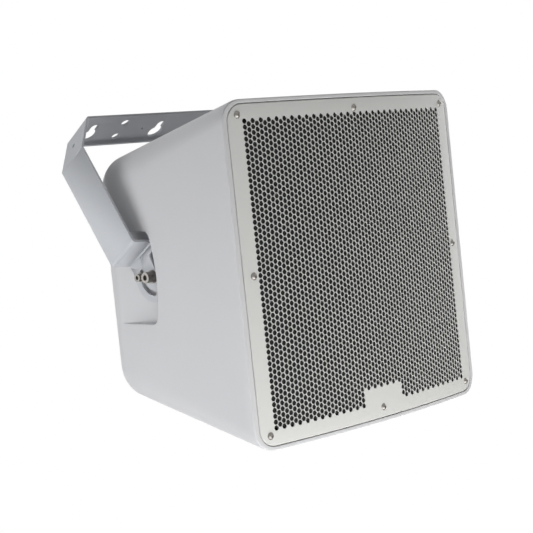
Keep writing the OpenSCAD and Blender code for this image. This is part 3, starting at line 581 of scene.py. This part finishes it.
def ring_at(m, w, h, r, y):
    """Rounded rectangle round the rear panel's middle at depth y, as flat points with their numbers."""
    pts, _ = outline(w, h, r, 8, 8.0, 8.0)
    pts = pts + np.array([0.0, PANEL_Z])
    ids = m.add([(p[0], y, p[1]) for p in pts])
    return [((float(p[0]), float(p[1])), i) for p, i in zip(pts, ids)]


def build_cabinet():
    m = Mesher()
    outside, inside = Hull(0.0), Hull(WALL)
    edge = outside.rim()
    face_y = bow(edge[:, 0])
    y0 = face_y + RIM_R
    first, back = add_hull(m, outside, y0, POCKET_X, 0.0, 1.3, 2.6)
    start = outside.at(y0)
    lean = np.hypot(*(edge - start[:, [0, 2]]).T)
    rings = []
    for k in range(1, 7):
        a = math.pi / 2 * k / 6
        d = lean + (RIM_R - lean) * (1 - math.cos(a))
        p = outside.rim(d)
        y = bow(p[:, 0]) + RIM_R * (1 - math.sin(a))
        rings.append(np.stack([p[:, 0], y, p[:, 1]], axis=1))
    mouth_w, mouth_h = GRILLE_W + 2 * GRILLE_GAP, GRILLE_H + 2 * GRILLE_GAP
    mouth_r = GRILLE_R + GRILLE_GAP
    mouth_c = (mouth_w / 2 - mouth_r, mouth_h / 2 - mouth_r)

    def mouth(grow):
        r = mouth_r + grow
        return np.stack([outside.mx * mouth_c[0] + r * np.cos(outside.angle),
                         outside.mz * mouth_c[1] + r * np.sin(outside.angle)], axis=1)

    for k in range(6):
        a = math.pi / 2 * k / 5
        p = mouth(MOUTH_LIP_R * (1 - math.sin(a)))
        y = bow(p[:, 0]) + MOUTH_LIP_R * (1 - math.cos(a))
        rings.append(np.stack([p[:, 0], y, p[:, 1]], axis=1))
    p = mouth(0.0)
    rings.append(np.stack([p[:, 0], bow(p[:, 0]) + MOUTH_D / 2, p[:, 1]], axis=1))
    rings.append(np.stack([p[:, 0], bow(p[:, 0]) + MOUTH_D, p[:, 1]], axis=1))
    previous = first
    for ring in rings:
        ids = m.add(ring)
        m.strip(previous, ids)
        previous = ids
    inside_y = bow(inside.rim()[:, 0]) + MOUTH_D + 0.2
    first_in, back_in = add_hull(m, inside, inside_y, POCKET_X - WALL, WALL, 1.0, 1.0)
    m.strip(previous, first_in)

    def recess(grow, y):
        return ring_at(m, RECESS_W + 2 * grow, RECESS_H + 2 * grow, RECESS_R + grow, y)

    recess_y = DEPTH - RECESS_D
    ring = recess(RECESS_EDGE_R, DEPTH)
    close_flat(m, back, ring, DEPTH)
    for k in range(1, 5):
        a = math.pi / 2 * k / 4
        nxt = recess(RECESS_EDGE_R * (1 - math.sin(a)), DEPTH - RECESS_EDGE_R * (1 - math.cos(a)))
        m.strip([i for _, i in ring], [i for _, i in nxt])
        ring = nxt
    nxt = recess(0.0, recess_y)
    m.strip([i for _, i in ring], [i for _, i in nxt])
    hole_size = (PANEL_W - 2 * PANEL_SEAT, PANEL_H - 2 * PANEL_SEAT, PANEL_HOLE_R)
    hole = ring_at(m, *hole_size, recess_y)
    close_flat(m, nxt, hole, recess_y)
    hole_in = ring_at(m, *hole_size, recess_y - WALL)
    m.strip([i for _, i in hole], [i for _, i in hole_in])
    block = recess(WALL, recess_y - WALL)
    close_flat(m, block, hole_in, recess_y - WALL)
    block_back = recess(WALL, DEPTH - WALL)
    m.strip([i for _, i in block], [i for _, i in block_back])
    close_flat(m, back_in, block_back, DEPTH - WALL)
    return m


cabinet_mesh = build_cabinet()
cabinet = cabinet_mesh.object("cabinet_shell")
print("cabinet triangles", sum(len(f) - 2 for f in cabinet_mesh.faces))
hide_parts("cabinet")
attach(cabinet, "cabinet")


# Bracket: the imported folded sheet, with its base's holes at the sizes the photograph shows

SHEET_T = 3.0
KEYHOLE_R, KEYHOLE_Y, KEYHOLE_NECK, KEYHOLE_TIP = 10.4, 10.1, 11.4, -11.3
KEYHOLES = (-128.6, -17.7, 128.6)
BOLT_HOLES = ((81.8, -11.9, 6.0), (81.8, 15.3, 5.6))

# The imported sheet's spare keyhole, which is filled: its middle, and how far it reaches from there
SPARE_X, SPARE_W, SPARE_Y = 18.0, 9.0, (-12.0, 16.0)


def keyhole_outline(x, steps=28):
    """Round end with a narrower round-ended slot, anticlockwise."""
    half = KEYHOLE_NECK / 2
    opening = math.asin(half / KEYHOLE_R)
    a0, a1 = -math.pi / 2 + opening, 3 * math.pi / 2 - opening
    pts = []
    for k in range(steps + 1):
        a = a0 + (a1 - a0) * k / steps
        pts.append((x + KEYHOLE_R * math.cos(a), KEYHOLE_Y + KEYHOLE_R * math.sin(a)))
    for k in range(13):
        a = math.pi + math.pi * k / 12
        pts.append((x + half * math.cos(a), KEYHOLE_TIP + half + half * math.sin(a)))
    return pts


def circle_outline(x, y, r, steps=32):
    turns = [2 * math.pi * k / steps for k in range(steps)]
    return [(x + r * math.cos(a), y + r * math.sin(a)) for a in turns]


def prisms(outlines, low, high):
    """One mesh with an upright prism on each outline, in the bracket's own frame."""
    m = Mesher()
    for outline_2d in outlines:
        bottom = m.add([(x, y, low) for x, y in outline_2d])
        top = m.add([(x, y, high) for x, y in outline_2d])
        m.strip(bottom, top)
        m.face(bottom[::-1])
        m.face(top)
    return m


def build_bracket():
    """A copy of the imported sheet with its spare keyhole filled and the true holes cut."""
    packed = frame["nodes"]["u_bracket"]
    mesh = packed.data.copy()
    bm = bmesh.new()
    bm.from_mesh(mesh)
    bmesh.ops.remove_doubles(bm, verts=bm.verts, dist=1e-6)
    walls = []
    for f in bm.faces:
        mid = f.calc_center_median() / MM
        near = abs(mid.x - SPARE_X) < SPARE_W and SPARE_Y[0] < mid.y < SPARE_Y[1]
        if near and abs(f.normal.z) < 0.1 and -SHEET_T < mid.z < 0:
            walls.append(f)
    bmesh.ops.delete(bm, geom=walls, context="FACES")
    open_edges = [e for e in bm.edges if len(e.link_faces) == 1]
    bmesh.ops.holes_fill(bm, edges=open_edges, sides=0)
    bmesh.ops.recalc_face_normals(bm, faces=bm.faces)
    bm.to_mesh(mesh)
    bm.free()
    obj = bpy.data.objects.new("bracket_sheet", mesh)
    bpy.context.scene.collection.objects.link(obj)
    outlines = [keyhole_outline(x) for x in KEYHOLES]
    for x, y, r in BOLT_HOLES:
        outlines += [circle_outline(x, y, r), circle_outline(-x, y, r)]
    cutter = prisms(outlines, -SHEET_T - 1.0, 1.0).object("cutter", Matrix.Identity(4))
    cut = obj.modifiers.new("holes", "BOOLEAN")
    cut.operation = "DIFFERENCE"
    cut.solver = "EXACT"
    cut.object = cutter
    bpy.context.view_layer.update()
    done = bpy.data.meshes.new_from_object(obj.evaluated_get(bpy.context.evaluated_depsgraph_get()))
    obj.modifiers.clear()
    obj.data = done
    done.name = "bracket_sheet"
    bpy.data.meshes.remove(mesh)
    tool = cutter.data
    bpy.data.objects.remove(cutter)
    bpy.data.meshes.remove(tool)
    shade(obj, SHARP_METAL)
    return obj


bracket = build_bracket()
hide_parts("u_bracket")
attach(bracket, "bracket")


# Materials

def linear(c):
    """A screen value from 0 to 1 as light."""
    return (c / 12.92) if c <= 0.04045 else ((c + 0.055) / 1.055) ** 2.4


def material(name):
    mat = bpy.data.materials.new(name)
    mat.use_nodes = True
    nodes = mat.node_tree.nodes
    return mat, nodes, mat.node_tree.links, nodes["Principled BSDF"]


def coat(name, rgb, roughness=0.5, grain=0.0006, bump=0.05, mottle=0.03, metallic=0.0, specular=0.5):
    """A painted or moulded surface: slight mottling, a fine grain, and roughness that varies with it."""
    colour = tuple(linear(c / 255) for c in rgb)
    mat, nodes, links, bsdf = material(name)
    coords = nodes.new("ShaderNodeTexCoord")
    broad = nodes.new("ShaderNodeTexNoise")
    broad.inputs["Scale"].default_value = 14.0
    broad.inputs["Detail"].default_value = 3.0
    links.new(coords.outputs["Object"], broad.inputs["Vector"])
    ramp = nodes.new("ShaderNodeMapRange")
    ramp.inputs["To Min"].default_value = 1 - mottle
    ramp.inputs["To Max"].default_value = 1 + mottle
    links.new(broad.outputs["Fac"], ramp.inputs["Value"])
    tint = nodes.new("ShaderNodeMix")
    tint.data_type = "RGBA"
    tint.blend_type = "MULTIPLY"
    tint.inputs["Factor"].default_value = 1.0
    tint.inputs["A"].default_value = (*colour, 1)
    links.new(ramp.outputs["Result"], tint.inputs["B"])
    links.new(tint.outputs["Result"], bsdf.inputs["Base Color"])
    fine = nodes.new("ShaderNodeTexNoise")
    fine.inputs["Scale"].default_value = 1 / grain
    fine.inputs["Detail"].default_value = 2.0
    links.new(coords.outputs["Object"], fine.inputs["Vector"])
    relief = nodes.new("ShaderNodeBump")
    relief.inputs["Strength"].default_value = bump
    relief.inputs["Distance"].default_value = 0.0003
    links.new(fine.outputs["Fac"], relief.inputs["Height"])
    links.new(relief.outputs["Normal"], bsdf.inputs["Normal"])
    rough = nodes.new("ShaderNodeMapRange")
    rough.inputs["To Min"].default_value = max(0.02, roughness - 0.05)
    rough.inputs["To Max"].default_value = roughness + 0.05
    links.new(fine.outputs["Fac"], rough.inputs["Value"])
    links.new(rough.outputs["Result"], bsdf.inputs["Roughness"])
    bsdf.inputs["Metallic"].default_value = metallic
    bsdf.inputs["Specular IOR Level"].default_value = specular
    return mat


# Colours as they show on a screen, and what sets each finish apart
MATERIALS = {
    "cabinet_shell": coat(
        "moulded_plastic", (207, 207, 209), roughness=0.5, grain=0.0007, bump=0.12, mottle=0.012, specular=0.3
    ),
    "grille_coat": coat(
        "grille_paint", (211, 211, 209), roughness=0.42, grain=0.0005, bump=0.05, mottle=0.012, specular=0.35
    ),
    "bracket_coat": coat(
        "bracket_paint", (192, 194, 198), roughness=0.45, grain=0.0009, bump=0.06, mottle=0.015, specular=0.2
    ),
    "stainless": coat("stainless", (128, 125, 121), roughness=0.28, grain=0.0004, bump=0.05, metallic=1.0),
    "zinc_steel": coat("zinc_steel", (150, 151, 152), roughness=0.34, grain=0.0006, bump=0.06, metallic=1.0),
    "backing_cloth": coat("backing_cloth", (9, 9, 9), roughness=0.95, grain=0.0008, bump=0.3, mottle=0.2),
    "black_plastic": coat("black_plastic", (28, 28, 30), roughness=0.5, grain=0.0006, bump=0.1),
    "driver_frame": coat("driver_frame", (30, 30, 31), roughness=0.6, grain=0.0008, bump=0.25),
    "ferrite": coat("ferrite", (58, 58, 60), roughness=0.55, grain=0.0006, bump=0.1),
    "gasket_rubber": coat("gasket_rubber", (26, 26, 26), roughness=0.75, grain=0.0008, bump=0.12),
    "cone_pulp": coat("cone_pulp", (34, 34, 35), roughness=0.85, grain=0.0012, bump=0.5, mottle=0.1),
    "copper": coat("copper_wire", (190, 110, 70), roughness=0.35, grain=0.0004, bump=0.1, metallic=1.0),
    "spider_cloth": coat("spider_cloth", (178, 138, 72), roughness=0.9, grain=0.0008, bump=0.4, mottle=0.08),
    "circuit_board": coat("circuit_board", (28, 84, 50), roughness=0.4, grain=0.0006, bump=0.05),
    "capacitor_wrap": coat("capacitor_wrap", (200, 160, 70), roughness=0.3, grain=0.001, bump=0.02),
    "transformer_iron": coat("transformer_iron", (54, 54, 57), roughness=0.5, grain=0.0006, bump=0.15),
    "panel_steel": coat("panel_paint", (176, 178, 182), roughness=0.42, grain=0.0009, bump=0.06),
    "terminal_plastic": coat("terminal_plastic", (208, 204, 190), roughness=0.45, grain=0.0006, bump=0.04),
    "spacer_plastic": coat("spacer_plastic", (205, 206, 208), roughness=0.5, grain=0.0007, bump=0.08),
}


def wear(obj, slot):
    obj.data.materials.clear()
    obj.data.materials.append(MATERIALS[slot])


slot_of = {s["node"]: s["material_slot"] for s in frame["record"]["subparts"]}
for node, obj in frame["nodes"].items():
    wear(obj, slot_of[node])
    shade(obj, SHARP_METAL)
wear(grille, "grille_coat")
wear(cabinet, "cabinet_shell")
wear(bracket, "bracket_coat")


# Camera, floor, backdrop and lamps

CAM_AT = Vector((-1.2752, -1.1537, -0.8464))
CAM_RIGHT = Vector((0.6981, -0.5401, -0.4700)).normalized()
CAM_FORWARD = Vector((0.7068, 0.6249, 0.3316)).normalized()
CAM_UP = CAM_RIGHT.cross(CAM_FORWARD).normalized()
CAM_RIGHT = CAM_FORWARD.cross(CAM_UP)


def add_camera():
    data = bpy.data.cameras.new("camera")
    data.sensor_width = 36.0
    data.lens = 97.21
    data.clip_start = 0.05
    data.clip_end = 60.0
    data.dof.use_dof = False
    obj = bpy.data.objects.new("camera", data)
    basis = Matrix((CAM_RIGHT, CAM_UP, -CAM_FORWARD)).transposed()
    obj.matrix_world = Matrix.Translation(CAM_AT) @ basis.to_4x4()
    bpy.context.scene.collection.objects.link(obj)
    bpy.context.scene.camera = obj


def area_lamp(name, towards, distance, size, power, colour, aim):
    """A square lamp that faces its aim, from a direction given as the photograph's right, up and back."""
    data = bpy.data.lights.new(name, "AREA")
    data.shape = "SQUARE"
    data.size = size
    data.energy = power
    data.color = colour
    direction = (CAM_RIGHT * towards[0] + CAM_UP * towards[1] - CAM_FORWARD * towards[2]).normalized()
    obj = bpy.data.objects.new(name, data)
    place = Vector(aim) + direction * distance
    obj.matrix_world = Matrix.Translation(place) @ direction.to_track_quat("Z", "Y").to_matrix().to_4x4()
    bpy.context.scene.collection.objects.link(obj)
    return obj


add_camera()

# Lamps: name, direction, distance, size, power, colour, aim
MIDDLE = (0.0, 0.0, -0.22)
NEAR = (-0.03, -0.14, -0.42)
WHITE = (1.0, 1.0, 1.0)
LAMPS = (
    ("low_front", (0.1, -0.9, 0.6), 1.3, 0.9, 4.3, (0.985, 1.0, 1.0), MIDDLE),
    ("low_right", (0.8, -0.75, 0.6), 1.3, 0.9, 9.4, (1.0, 1.0, 0.97), MIDDLE),
    ("front", (0.05, -0.4, 0.85), 0.95, 0.7, 3.0, WHITE, NEAR),
    ("left", (-0.95, -0.25, 0.3), 0.95, 0.7, 4.4, (0.98, 0.99, 1.0), NEAR),
    ("high_left", (-0.8, 0.75, 0.3), 2.0, 1.2, 4.6, (0.965, 0.985, 1.0), MIDDLE),
    ("right", (0.8, 0.3, -0.8), 2.0, 1.4, 14.0, WHITE, MIDDLE),
    ("behind", (0.5, 0.1, -1.0), 2.2, 1.4, 12.0, WHITE, MIDDLE),
    ("above", (0.0, 1.0, -0.35), 2.2, 1.4, 16.0, WHITE, MIDDLE),
)
for lamp in LAMPS:
    area_lamp(*lamp)


def seen_directly(nodes, links):
    """One for rays from the camera, in a mirror or through glass, nought for light that falls on things."""
    rays = nodes.new("ShaderNodeLightPath")
    total = rays.outputs["Is Camera Ray"]
    for name in ("Is Glossy Ray", "Is Transmission Ray"):
        either = nodes.new("ShaderNodeMath")
        either.operation = "MAXIMUM"
        links.new(total, either.inputs[0])
        links.new(rays.outputs[name], either.inputs[1])
        total = either.outputs["Value"]
    return total


ROOM_LIGHT = 0.08
FLOOR_Z, FLOOR_SIZE, FLOOR_GLOW = -2.6, 24.0, 0.85

world = bpy.data.worlds.new("studio")
bpy.context.scene.world = world
world.use_nodes = True
wn, wl = world.node_tree.nodes, world.node_tree.links
wn.clear()
out = wn.new("ShaderNodeOutputWorld")
plain = wn.new("ShaderNodeBackground")
plain.inputs["Color"].default_value = (1, 1, 1, 1)
plain.inputs["Strength"].default_value = ROOM_LIGHT
white = wn.new("ShaderNodeBackground")
white.inputs["Color"].default_value = (1, 1, 1, 1)
white.inputs["Strength"].default_value = 1.0
mix = wn.new("ShaderNodeMixShader")
wl.new(seen_directly(wn, wl), mix.inputs["Fac"])
wl.new(plain.outputs["Background"], mix.inputs[1])
wl.new(white.outputs["Background"], mix.inputs[2])
wl.new(mix.outputs["Shader"], out.inputs["Surface"])


def add_floor(z, size):
    """Plain pale floor far below the hanging speaker; cameras see it nearly white, with its soft shadow."""
    mesh = bpy.data.meshes.new("floor")
    h = size / 2
    mesh.from_pydata([(-h, -h, z), (h, -h, z), (h, h, z), (-h, h, z)], [], [(0, 1, 2, 3)])
    obj = bpy.data.objects.new("floor", mesh)
    bpy.context.scene.collection.objects.link(obj)
    mat = bpy.data.materials.new("pale_floor")
    mat.use_nodes = True
    nodes, links = mat.node_tree.nodes, mat.node_tree.links
    nodes.clear()
    end = nodes.new("ShaderNodeOutputMaterial")
    paint = nodes.new("ShaderNodeBsdfDiffuse")
    paint.inputs["Color"].default_value = (0.8, 0.8, 0.8, 1)
    glow = nodes.new("ShaderNodeEmission")
    glow.inputs["Color"].default_value = (1, 1, 1, 1)
    glow.inputs["Strength"].default_value = 1.0
    share = nodes.new("ShaderNodeMath")
    share.operation = "MULTIPLY"
    share.inputs[1].default_value = FLOOR_GLOW
    blend = nodes.new("ShaderNodeMixShader")
    links.new(seen_directly(nodes, links), share.inputs[0])
    links.new(share.outputs["Value"], blend.inputs["Fac"])
    links.new(paint.outputs["BSDF"], blend.inputs[1])
    links.new(glow.outputs["Emission"], blend.inputs[2])
    links.new(blend.outputs["Shader"], end.inputs["Surface"])
    mesh.materials.append(mat)


add_floor(FLOOR_Z, FLOOR_SIZE)

scene = bpy.context.scene
scene.view_settings.view_transform = "Standard"
